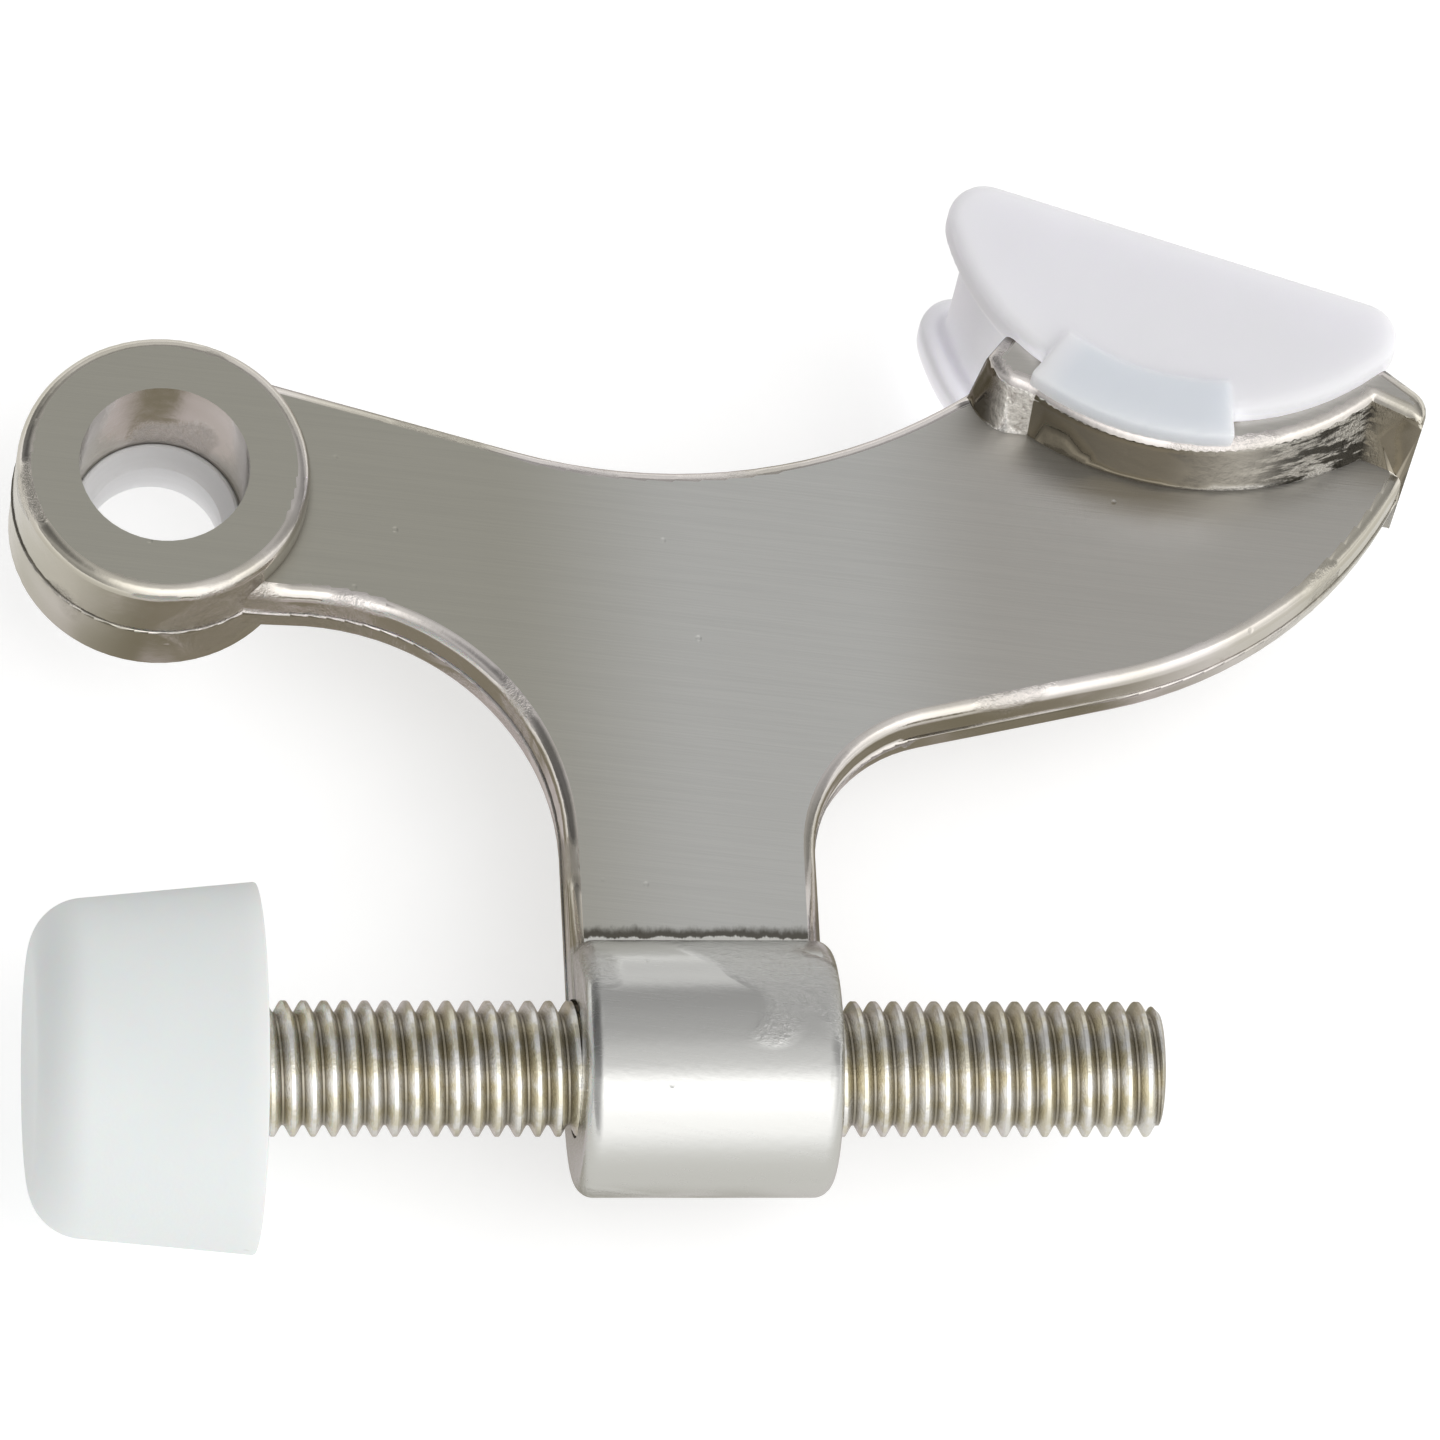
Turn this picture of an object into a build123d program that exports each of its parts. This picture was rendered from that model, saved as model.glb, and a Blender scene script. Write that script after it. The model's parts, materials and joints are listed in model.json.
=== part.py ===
from build123d import *
import math
import os

# Hinge-pin door stop, millimetres. The origin is on the hinge pin's axis, at the face of the eye
# that sits on the hinge. +Z runs along the hinge pin, +X along the adjusting screw towards its
# free end, and +Y from the screw towards the eye and the trim pad.

# ---- driving dimensions ----
eye_radius = 7.3            # outside of the eye
eye_thickness = 8.0
eye_edge_radius = 0.8
eye_bore_radius = 4.24      # takes the bushing, or a thick hinge pin without it

web_thickness = 3.8         # flat plate between eye, saddle and barrel
web_edge_radius = 0.75
draft_angle = 2.0           # degrees, both ways from the parting plane
flash_height = 0.07         # parting line left proud round the casting
flash_width = 0.22
arm_dip = (25.6, 1.05)      # lowest point of the arm's top edge
arm_dip_radius = 27.0
arch_centre = (6.3, -19.0)  # hollow between the eye and the stem
arch_radius = 12.75
arch_foot = (0, -6.0)       # end of the hollow's edge, inside the eye
stem_left = 19.2
stem_right = 31.7
elbow_radius = 7.3          # between the stem and the underside of the right arm
underside_corner = (31.7, -14.15)
underside_slope = 12.5      # degrees
underside_run = 16.0        # straight part of the underside, from its corner

screw_drop = 31.0           # screw axis below the eye's axis
barrel_radius = 6.3
barrel_start = 19.4
barrel_length = 12.6
barrel_edge_radius = 0.9

saddle_centre = (52.5, 15.0)
saddle_inner_radius = 13.4
saddle_mid_radius = 14.2
saddle_outer_radius = 15.0
saddle_half_width = 6.2
saddle_edge_radius = 0.8    # round the rims, except along the pad's seat
saddle_from = -51.2         # degrees round its centre from straight down, at the horn's tip
saddle_to = 40.5            # at the toe's tip
toe_heel = (63.3, 3.0)      # outermost corner of the casting, before rounding
toe_radius = 1.3
horn_join_x = 40.7          # where the horn rises from the arm's top edge
belly_end = (62.4, 0.8)     # the web's far end, inside the toe
# the rest of the saddle's outline is drafted: first on the parting plane, then at its rim
horn_side = ((40.32, 5.11), (41.16, 5.43))
horn_round = ((41.05, 3.68), (41.35, 4.55))
horn_heel = ((42.43, 2.84), (42.0, 3.85))
horn_shoulder = ((43.5, 2.95), (43.3, 3.2))
saddle_bottom = ((52.5, -0.1), (52.5, 0.1))
toe_shoulder = ((60.1, 1.2), (60.4, 3.1))
toe_foot = ((62.3, 0.3), (62.85, 1.8))

thread_pitch = 1.0
thread_radius = 3.325       # over the crests
thread_depth = 0.56
thread_foot = 0.9           # width of a thread where it meets the root cylinder
thread_crest = 0.2
thread_sink = 0.1           # buried in the root cylinder
thread_start = 0.25
thread_sections = 6
section_turns = 7.9
screw_clearance = 0.075     # barrel bore over the crests
screw_end = 48.1
screw_end_chamfer = 0.3
head_radius = 5.2
head_thickness = 3.0
head_edge_radius = 1.2
head_face = -4.0            # x of the head's outer face

tip_front = -7.3
tip_rim = 3.7
tip_rim_radius = 9.1
tip_front_radius = 8.3
tip_corner_radius = 2.7
tip_clearance = 0.08        # rubber over the screw's head and neck

bushing_front = 2.1
bushing_bore_radius = 3.35
bushing_lead_radius = 4.0
bushing_lead_depth = 1.0
bushing_flange_radius = 5.4
bushing_flange_thickness = 1.2
bushing_lead_step = 0.15    # small ledge at the foot of the lead-in
bushing_edge_radius = 0.3

pad_half_width = 7.2
pad_flange_thickness = 2.2
pad_radius = 13.35
pad_core_radius = 12.1
pad_face_angle = -19.3      # degrees, slope of the face that meets the door trim
pad_face_drop = 4.03        # saddle centre to the contact face
pad_corner_radius = 1.9
lug_inner_radius = 11.7
lug_outer_radius = 14.9
lug_from = -39.0            # degrees round the saddle centre from straight down
lug_to = 2.0
lug_proud = 0.55
lug_corner_radius = 0.7

overshoot = 1.0             # cutters run this far past the faces they cut


# ---- derived places ----
def polar(centre, radius, degrees_from_down):
    """Point on a circle, with the angle counted from straight down towards +X."""
    turn = math.radians(degrees_from_down)
    return (centre[0] + radius * math.sin(turn), centre[1] - radius * math.cos(turn))


def exposed(edge):
    """Whether an edge of the web lies outside both the eye and the saddle."""
    middle = edge.position_at(0.5)
    from_saddle = math.hypot(middle.X - saddle_centre[0], middle.Y - saddle_centre[1])
    return math.hypot(middle.X, middle.Y) > eye_radius and from_saddle > saddle_outer_radius


def off_seat(edge):
    """Whether an edge of the saddle's rim lies away from the pad's seat."""
    middle = edge.position_at(0.5)
    from_centre = math.hypot(middle.X - saddle_centre[0], middle.Y - saddle_centre[1])
    return from_centre > (saddle_inner_radius + saddle_mid_radius) / 2


# the arm's top edge is a straight line tangent to the eye and to the dip's arc
dip_centre = (arm_dip[0], arm_dip[1] + arm_dip_radius)
dip_distance = math.hypot(*dip_centre)
dip_bearing = math.atan2(dip_centre[1], dip_centre[0])
arm_slope = dip_bearing - math.asin((eye_radius + arm_dip_radius) / dip_distance)
eye_tangent = (-eye_radius * math.sin(arm_slope), eye_radius * math.cos(arm_slope))
dip_start = (dip_centre[0] + arm_dip_radius * math.sin(arm_slope),
             dip_centre[1] - arm_dip_radius * math.cos(arm_slope))

horn_tip = polar(saddle_centre, saddle_inner_radius, saddle_from)
toe_tip = polar(saddle_centre, saddle_inner_radius, saddle_to)
horn_join = (horn_join_x, dip_centre[1] - math.sqrt(arm_dip_radius**2 - (horn_join_x - dip_centre[0])**2))
slope = math.radians(underside_slope)
elbow_reach = elbow_radius * math.tan(math.radians(90 - underside_slope) / 2)
elbow_start = (stem_right, underside_corner[1] - elbow_reach)
elbow_end = (underside_corner[0] + elbow_reach * math.cos(slope),
             underside_corner[1] + elbow_reach * math.sin(slope))
belly_start = (underside_corner[0] + underside_run * math.cos(slope),
               underside_corner[1] + underside_run * math.sin(slope))

# every outline lies on the parting plane, half way up the eye
mid_height = eye_thickness / 2
parting = Plane.XY.offset(mid_height)
screw_axis = Axis((0, -screw_drop, mid_height), (1, 0, 0))
screw_centre = (-screw_drop, mid_height)    # in a plane across the screw


# ---- casting: eye, web plate, stem, barrel and saddle in one piece ----
with BuildPart() as body_casting:
    with BuildSketch(parting) as web_outline:
        with BuildLine():
            Line((0, 0), eye_tangent)
            Line(eye_tangent, dip_start)
            ThreePointArc(dip_start, arm_dip, horn_join)
            saddle_line = CenterArc(saddle_centre, saddle_mid_radius, saddle_from - 90,
                                    saddle_to - saddle_from)
            Line(horn_join, saddle_line @ 0)
            Line(saddle_line @ 1, belly_end)
            TangentArc(belly_start, belly_end, tangent=(math.cos(slope), math.sin(slope)))
            Line(elbow_end, belly_start)
            TangentArc(elbow_start, elbow_end, tangent=(0, 1))
            Line((stem_right, -screw_drop), elbow_start)
            Line((stem_left, -screw_drop), (stem_right, -screw_drop))
            Line((stem_left, arch_centre[1]), (stem_left, -screw_drop))
            ThreePointArc((arch_centre[0], arch_centre[1] + arch_radius),
                          polar(arch_centre, arch_radius, 135),
                          (stem_left, arch_centre[1]))
            Polyline((arch_centre[0], arch_centre[1] + arch_radius), arch_foot, (0, 0))
        make_face()
    extrude(amount=web_thickness / 2, taper=draft_angle)
    mirror(about=parting)
    web_faces = body_casting.faces().filter_by(Axis.Z).sort_by(Axis.Z)
    web_rims = web_faces[0].edges() + web_faces[-1].edges()
    fillet(web_rims.filter_by(exposed), radius=web_edge_radius)

    # parting line, left as a thin ridge round the web and the eye
    with BuildSketch(parting) as flash_outline:
        add(web_outline.sketch)
        Circle(eye_radius)
        offset(amount=flash_height, kind=Kind.INTERSECTION)
    extrude(amount=flash_width / 2, both=True)

    # eye
    with BuildSketch(Plane.XZ) as eye_profile:
        Rectangle(eye_radius, eye_thickness, align=(Align.MIN, Align.MIN))
        fillet(eye_profile.vertices().group_by(Axis.X)[-1], radius=eye_edge_radius)
    revolve(axis=Axis.Z)

    # threaded barrel
    with BuildSketch(parting) as barrel_profile:
        with Locations((barrel_start, -screw_drop)):
            Rectangle(barrel_length, barrel_radius, align=(Align.MIN, Align.MIN))
        fillet(barrel_profile.vertices().group_by(Axis.Y)[-1], radius=barrel_edge_radius)
    revolve(axis=screw_axis)

    # saddle, with a horn at the arm's end and a toe at the far end, drafted towards each rim
    for side in (-1, 1):
        for rim, plane in ((0, parting), (1, parting.offset(side * saddle_half_width))):
            with BuildSketch(plane) as saddle_outline:
                with BuildLine():
                    CenterArc(saddle_centre, saddle_inner_radius, saddle_from - 90, saddle_to - saddle_from)
                    Polyline(toe_tip, toe_heel, toe_foot[rim], toe_shoulder[rim])
                    ThreePointArc(toe_shoulder[rim], saddle_bottom[rim], horn_shoulder[rim])
                    Line(horn_shoulder[rim], horn_heel[rim])
                    ThreePointArc(horn_heel[rim], horn_round[rim], horn_side[rim])
                    Line(horn_side[rim], horn_tip)
                make_face()
                fillet(saddle_outline.vertices().sort_by_distance((*toe_heel, 0))[0], radius=toe_radius)
        loft(ruled=True)
    saddle_faces = body_casting.faces().filter_by(Axis.Z).sort_by(Axis.Z)
    saddle_rims = saddle_faces[0].edges() + saddle_faces[-1].edges()
    fillet(saddle_rims.filter_by(off_seat), radius=saddle_edge_radius)

    # bores for the hinge pin's bushing and for the screw
    with BuildSketch(Plane.XY.offset(-overshoot)):
        Circle(eye_bore_radius)
    extrude(amount=eye_thickness + 2 * overshoot, mode=Mode.SUBTRACT)
    with BuildSketch(Plane.YZ.offset(barrel_start - overshoot)):
        with Locations(screw_centre):
            Circle(thread_radius + screw_clearance)
    extrude(amount=barrel_length + 2 * overshoot, mode=Mode.SUBTRACT)
body_casting.part.label = "body_casting"

# ---- bushing pressed into the eye from the hinge's side ----
with BuildPart() as hinge_pin_bushing:
    with BuildSketch(Plane.XZ) as bushing_profile:
        with BuildLine():
            Polyline((bushing_bore_radius, -bushing_flange_thickness),
                     (bushing_flange_radius, -bushing_flange_thickness),
                     (bushing_flange_radius, 0),
                     (eye_bore_radius, 0),
                     (eye_bore_radius, bushing_front),
                     (bushing_lead_radius, bushing_front),
                     (bushing_bore_radius + bushing_lead_step, bushing_front - bushing_lead_depth),
                     (bushing_bore_radius, bushing_front - bushing_lead_depth),
                     close=True)
        make_face()
    revolve(axis=Axis.Z)
    fillet(hinge_pin_bushing.edges().group_by(Axis.Z)[0], radius=bushing_edge_radius)
hinge_pin_bushing.part.label = "hinge_pin_bushing"

# ---- vinyl pad: a D-shaped spool that sits in the saddle ----
face_turn = math.radians(pad_face_angle)
face_normal = (-math.sin(face_turn), math.cos(face_turn))
face_middle = (saddle_centre[0] - pad_face_drop * face_normal[0],
               saddle_centre[1] - pad_face_drop * face_normal[1])


def d_outline(radius, corner):
    """D section: a disc about the saddle's centre, cut off along the contact face."""
    with BuildSketch(mode=Mode.PRIVATE) as outline:
        with Locations(saddle_centre):
            Circle(radius)
        with Locations(Location((*face_middle, 0), (0, 0, pad_face_angle))):
            Rectangle(4 * radius, 2 * radius, align=(Align.CENTER, Align.MIN), mode=Mode.SUBTRACT)
        fillet(outline.vertices(), radius=corner)
    return outline.sketch


with BuildPart() as trim_pad:
    with BuildSketch(parting) as core_section:
        add(d_outline(pad_core_radius, pad_corner_radius))
    extrude(amount=pad_half_width - pad_flange_thickness / 2, both=True)
    for side in (-1, 1):
        flange_foot = parting.offset(side * (pad_half_width - pad_flange_thickness))
        with BuildSketch(flange_foot):
            add(d_outline(pad_radius, pad_corner_radius))
        extrude(amount=side * pad_flange_thickness)
        # lip over the saddle's edge
        with BuildSketch(parting.offset(side * saddle_half_width)) as lug:
            with BuildLine():
                outer = CenterArc(saddle_centre, lug_outer_radius, lug_from - 90, lug_to - lug_from)
                inner_arc = CenterArc(saddle_centre, lug_inner_radius, lug_from - 90, lug_to - lug_from)
                Line(outer @ 0, inner_arc @ 0)
                Line(outer @ 1, inner_arc @ 1)
            make_face()
            fillet(lug.vertices(), radius=lug_corner_radius)
        extrude(amount=side * (pad_half_width + lug_proud - saddle_half_width))
trim_pad.part.label = "trim_pad"

# ---- rubber tip ----
with BuildPart() as rubber_tip:
    with BuildSketch(parting) as tip_profile:
        with BuildLine():
            Polyline((tip_front, -screw_drop), (tip_front, tip_front_radius - screw_drop),
                     (tip_rim, tip_rim_radius - screw_drop), (tip_rim, -screw_drop), close=True)
        make_face()
        front_corner = tip_profile.vertices().group_by(Axis.X)[0].sort_by(Axis.Y)[-1]
        fillet(front_corner, radius=tip_corner_radius)
    revolve(axis=screw_axis)
    # cavity for the screw's head and hole for its shank
    with BuildSketch(Plane.YZ.offset(head_face - tip_clearance)):
        with Locations(screw_centre):
            Circle(head_radius + tip_clearance)
    extrude(amount=head_thickness + 2 * tip_clearance, mode=Mode.SUBTRACT)
    with BuildSketch(Plane.YZ.offset(head_face)):
        with Locations(screw_centre):
            Circle(thread_radius + tip_clearance)
    extrude(amount=tip_rim - head_face + overshoot, mode=Mode.SUBTRACT)
rubber_tip.part.label = "rubber_tip"

# ---- adjusting screw: head, root cylinder and a right-hand thread swept round it ----
root_radius = thread_radius - thread_depth
thread_flank = (thread_foot - thread_crest) / 2 / thread_depth
buried_half_width = thread_foot / 2 + thread_sink * thread_flank
with BuildPart() as adjusting_screw:
    with BuildSketch(parting) as screw_profile:
        with Locations((head_face, -screw_drop)):
            Rectangle(head_thickness, head_radius, align=(Align.MIN, Align.MIN))
        fillet(screw_profile.vertices().group_by(Axis.Y)[-1].sort_by(Axis.X)[0], radius=head_edge_radius)
        with Locations((head_face, -screw_drop)):
            Rectangle(screw_end - head_face, root_radius, align=(Align.MIN, Align.MIN))
        chamfer(screw_profile.vertices().group_by(Axis.X)[-1].sort_by(Axis.Y)[-1], length=screw_end_chamfer)
    revolve(axis=screw_axis)
    # the thread is swept in short sections that meet end to end
    for section in range(thread_sections):
        section_length = section_turns * thread_pitch
        with BuildLine():
            crest_path = Helix(thread_pitch, section_length, root_radius, direction=(1, 0, 0),
                               center=(thread_start + section * section_length, -screw_drop, mid_height))
        with BuildSketch(Plane(crest_path @ 0, x_dir=(1, 0, 0), z_dir=crest_path % 0)):
            with BuildLine():
                Polyline((-buried_half_width, -thread_sink), (-thread_crest / 2, thread_depth),
                         (thread_crest / 2, thread_depth), (buried_half_width, -thread_sink), close=True)
            make_face()
        sweep(path=crest_path, is_frenet=True)
adjusting_screw.part.label = "adjusting_screw"

os.makedirs("parts", exist_ok=True)
export_step(body_casting.part, "parts/body_casting.step")
export_step(hinge_pin_bushing.part, "parts/hinge_pin_bushing.step")
export_step(trim_pad.part, "parts/trim_pad.step")
export_step(adjusting_screw.part, "parts/adjusting_screw.step")
export_step(rubber_tip.part, "parts/rubber_tip.step")
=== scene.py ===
"""Looks of the hinge-pin door stop: satin nickel casting, plated screw, soft white tip and pad."""
import json
import math

import bmesh
import bpy
import numpy as np
from mathutils import Matrix, Vector


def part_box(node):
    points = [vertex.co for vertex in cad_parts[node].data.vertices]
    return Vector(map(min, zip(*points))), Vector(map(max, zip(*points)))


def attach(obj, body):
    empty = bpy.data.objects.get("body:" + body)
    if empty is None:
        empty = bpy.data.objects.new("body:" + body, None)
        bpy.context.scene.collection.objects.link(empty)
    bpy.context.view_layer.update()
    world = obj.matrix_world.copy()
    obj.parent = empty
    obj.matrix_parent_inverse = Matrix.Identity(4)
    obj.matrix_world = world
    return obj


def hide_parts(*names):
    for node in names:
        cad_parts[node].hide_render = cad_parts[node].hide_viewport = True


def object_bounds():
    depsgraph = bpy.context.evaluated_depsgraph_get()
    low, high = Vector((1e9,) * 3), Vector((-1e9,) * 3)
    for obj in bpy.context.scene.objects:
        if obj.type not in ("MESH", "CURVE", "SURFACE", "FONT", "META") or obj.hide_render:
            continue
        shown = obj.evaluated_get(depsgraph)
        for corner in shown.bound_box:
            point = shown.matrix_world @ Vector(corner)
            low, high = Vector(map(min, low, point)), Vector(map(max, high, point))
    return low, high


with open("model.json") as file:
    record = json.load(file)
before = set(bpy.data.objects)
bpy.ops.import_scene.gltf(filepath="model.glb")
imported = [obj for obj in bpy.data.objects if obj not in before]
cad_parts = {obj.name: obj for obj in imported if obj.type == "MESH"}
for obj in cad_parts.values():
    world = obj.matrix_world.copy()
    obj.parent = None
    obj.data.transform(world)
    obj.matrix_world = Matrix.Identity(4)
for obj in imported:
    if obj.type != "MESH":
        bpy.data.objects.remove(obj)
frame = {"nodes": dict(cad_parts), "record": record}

MM = 0.001
CAD_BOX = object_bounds()


# ---------------------------------------------------------------- places read from the frame
def mount(name):
    """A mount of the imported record: its point and its unit axis."""
    found = next(m for m in frame["record"]["mounts"] if m["name"] == name)
    return Vector(found["pos_m"]), Vector(found["axis"]).normalized(), found["dims"]


TIP_LOW, TIP_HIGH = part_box("rubber_tip")
SCREW_LOW, SCREW_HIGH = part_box("adjusting_screw")
BUSHING_LOW, BUSHING_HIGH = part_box("hinge_pin_bushing")
PAD_LOW, PAD_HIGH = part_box("trim_pad")
AXIS_Y = (SCREW_LOW.y + SCREW_HIGH.y) / 2           # the screw's axis runs along X at this height
MID_Z = (PAD_LOW.z + PAD_HIGH.z) / 2                # the parting plane, half way through everything
PAD_FACE, PAD_NORMAL, _ = mount("trim_contact")
_, _, PIN_BORE = mount("hinge_pin_bore")


# ---------------------------------------------------------------- mesh helpers
def new_piece(name, vertices, faces, material, body, node):
    """A smooth-shaded mesh that rides on a body and stands for a CAD node."""
    mesh = bpy.data.meshes.new(name)
    mesh.from_pydata([tuple(v) for v in vertices], [], faces)
    tidy_mesh(mesh)
    piece = bpy.data.objects.new(name, mesh)
    bpy.context.scene.collection.objects.link(piece)
    mesh.materials.append(material)
    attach(piece, body)
    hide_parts(node)
    return piece


def tidy_mesh(mesh, merge=2e-7, sharp_angle=38):
    """Welds coincident points, turns the faces outward and marks the sharp edges."""
    bm = bmesh.new()
    bm.from_mesh(mesh)
    bmesh.ops.remove_doubles(bm, verts=bm.verts, dist=merge)
    bmesh.ops.dissolve_degenerate(bm, edges=bm.edges, dist=merge)
    bmesh.ops.recalc_face_normals(bm, faces=bm.faces)
    bm.to_mesh(mesh)
    bm.free()
    mesh.shade_smooth()
    mesh.set_sharp_from_angle(angle=math.radians(sharp_angle))


def coordinates(mesh):
    """The mesh's points as rows of an array."""
    co = np.zeros(len(mesh.vertices) * 3)
    mesh.vertices.foreach_get("co", co)
    return co.reshape(-1, 3)


def write_mask(mesh, name, values, domain="POINT"):
    """Stores one number for each point or face corner, for a material to read."""
    mask = mesh.attributes.new(name, "FLOAT", domain)
    mask.data.foreach_set("value", np.asarray(values, np.float32))


def apply_modifiers(piece):
    """Puts the modified mesh in place of the piece's own."""
    graph = bpy.context.evaluated_depsgraph_get()
    graph.update()
    mesh = bpy.data.meshes.new_from_object(piece.evaluated_get(graph))
    for modifier in list(piece.modifiers):
        piece.modifiers.remove(modifier)
    piece.data = mesh


def arc(centre, radius, start, end, steps):
    """Points of an arc in a profile, angles in degrees."""
    turns = np.linspace(math.radians(start), math.radians(end), steps + 1)
    return [(centre[0] + radius * math.cos(t), centre[1] + radius * math.sin(t)) for t in turns]


def lathe(profile, place, segments=160):
    """Turns a closed or axis-to-axis profile of (along, radius) points; place puts a point in space."""
    vertices, faces = [], []
    count = len(profile)
    for k in range(segments):
        turn = 2 * math.pi * k / segments
        vertices += [place(along, radius * math.cos(turn), radius * math.sin(turn))
                     for along, radius in profile]
    for k in range(segments):
        here, there = k * count, (k + 1) % segments * count
        for i in range(count):
            j = (i + 1) % count
            faces.append((here + i, here + j, there + j, there + i))
    return vertices, faces


def along_screw(x, across, up):
    """A point placed from the screw's axis."""
    return (x, AXIS_Y + across, MID_Z + up)


def along_pin(z, across, up):
    """A point placed from the hinge pin's axis, which is the Z axis."""
    return (across, up, z)


# ---------------------------------------------------------------- materials
class Shader:
    """A Principled material, with short ways to add the nodes that drive it."""

    def __init__(self, name):
        self.material = bpy.data.materials.new(name)
        self.material.use_nodes = True
        self.tree = self.material.node_tree
        self.surface = self.tree.nodes["Principled BSDF"]
        self.place = self.node("ShaderNodeTexCoord").outputs["Object"]

    def node(self, kind, **settings):
        made = self.tree.nodes.new(kind)
        for key, value in settings.items():
            setattr(made, key, value)
        return made

    def feed(self, value, socket):
        if isinstance(value, bpy.types.NodeSocket):
            self.tree.links.new(value, socket)
        else:
            socket.default_value = value

    def put(self, name, value):
        self.feed(value, self.surface.inputs[name])

    def stretched(self, per_mm, turn=0.0, source=None):
        """Object coordinates in features per millimetre along each axis, turned about Z by degrees."""
        turned = self.node("ShaderNodeMapping", vector_type="POINT")
        turned.inputs["Rotation"].default_value = (0, 0, math.radians(-turn))
        self.feed(source or self.place, turned.inputs["Vector"])
        scaled = self.node("ShaderNodeVectorMath", operation="MULTIPLY")
        self.feed(turned.outputs[0], scaled.inputs[0])
        scaled.inputs[1].default_value = [f / MM for f in per_mm]
        return scaled.outputs[0]

    def noise(self, per_mm, detail=3.0, roughness=0.5, turn=0.0):
        made = self.node("ShaderNodeTexNoise")
        self.feed(self.stretched(per_mm, turn), made.inputs["Vector"])
        made.inputs["Scale"].default_value = 1.0
        made.inputs["Detail"].default_value = detail
        made.inputs["Roughness"].default_value = roughness
        return made.outputs["Fac"]

    def spots(self, per_mm, low, high):
        """Sparse round spots: 1 at a cell's centre, 0 away from it."""
        cells = self.node("ShaderNodeTexVoronoi")
        self.feed(self.stretched(per_mm), cells.inputs["Vector"])
        cells.inputs["Scale"].default_value = 1.0
        return self.remap(cells.outputs["Distance"], low, high, 1.0, 0.0)

    def remap(self, value, low, high, to_low=0.0, to_high=1.0):
        made = self.node("ShaderNodeMapRange", interpolation_type="SMOOTHSTEP")
        self.feed(value, made.inputs["Value"])
        made.inputs["From Min"].default_value = low
        made.inputs["From Max"].default_value = high
        made.inputs["To Min"].default_value = to_low
        made.inputs["To Max"].default_value = to_high
        return made.outputs["Result"]

    def math(self, operation, a, b):
        made = self.node("ShaderNodeMath", operation=operation)
        self.feed(a, made.inputs[0])
        self.feed(b, made.inputs[1])
        return made.outputs[0]

    def mix(self, factor, a, b):
        """A colour between a and b."""
        made = self.node("ShaderNodeMix", data_type="RGBA")
        self.feed(factor, made.inputs["Factor"])
        self.feed(a, made.inputs["A"])
        self.feed(b, made.inputs["B"])
        return made.outputs["Result"]

    def multiply(self, a, b):
        """The product of two colours."""
        made = self.node("ShaderNodeMix", data_type="RGBA", blend_type="MULTIPLY")
        made.inputs["Factor"].default_value = 1.0
        self.feed(a, made.inputs["A"])
        self.feed(b, made.inputs["B"])
        return made.outputs["Result"]

    def blend(self, factor, a, b):
        """A number between a and b."""
        made = self.node("ShaderNodeMix", data_type="FLOAT")
        self.feed(factor, made.inputs["Factor"])
        self.feed(a, made.inputs["A"])
        self.feed(b, made.inputs["B"])
        return made.outputs["Result"]

    def openness(self, reach_mm):
        """1 where nothing is near, falling in corners and under things."""
        made = self.node("ShaderNodeAmbientOcclusion", samples=8)
        made.inputs["Distance"].default_value = reach_mm * MM
        return made.outputs["AO"]

    def attribute(self, name):
        return self.node("ShaderNodeAttribute", attribute_name=name).outputs["Fac"]

    def bump(self, height, depth_mm, under=None):
        made = self.node("ShaderNodeBump")
        made.inputs["Strength"].default_value = 1.0
        made.inputs["Distance"].default_value = depth_mm * MM
        self.feed(height, made.inputs["Height"])
        if under is not None:
            self.feed(under, made.inputs["Normal"])
        return made.outputs["Normal"]


def rgb(red, green, blue):
    return (red, green, blue, 1.0)


# painted light and shade on the plating change over these, in X
STEM_START, STEM_END = (16 * MM, 27 * MM), (34 * MM, 42 * MM)
SADDLE_LIGHTER, TOE_START = (49.5 * MM, 56.0 * MM), (59.8 * MM, 60.4 * MM)
BARREL_TOP = AXIS_Y + 6.0 * MM                      # where the web's faces run into the barrel


def ground_colour(shader, x, y, streak):
    """The brushed faces, with painted light and shade by position: warmer and darker at the eye, brightest at
    the stem.
    """
    # painted light and shade: darker and warmer at the eye, lightest at the stem, darker again beyond it
    plain = shader.mix(shader.remap(x, *STEM_START), rgb(0.575, 0.56, 0.49), rgb(0.80, 0.80, 0.775))
    plain = shader.mix(shader.remap(x, *STEM_END), plain, rgb(0.67, 0.65, 0.61))
    scratched = shader.mix(shader.remap(streak, 0.35, 0.65), rgb(0.93, 0.93, 0.93), rgb(1.0, 1.0, 1.0))
    colour = shader.multiply(plain, scratched)

    # painted shade and highlight: a ragged dark line where the stem runs into the barrel, with a pale lip, a
    # painted highlight, on its barrel side
    wander = shader.math("MULTIPLY", shader.noise((1.1, 0.5, 1.0), detail=5.0, roughness=0.7), 0.9 * MM)
    ragged = shader.math("ADD", y, wander)
    lip = shader.remap(ragged, BARREL_TOP + 0.60 * MM, BARREL_TOP + 0.70 * MM)
    shade = shader.remap(ragged, BARREL_TOP + 0.85 * MM, BARREL_TOP + 1.35 * MM, 0.9, 0.0)
    colour = shader.mix(shade, colour, rgb(0.10, 0.09, 0.07))
    return shader.mix(lip, rgb(0.95, 0.94, 0.90), colour)


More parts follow.
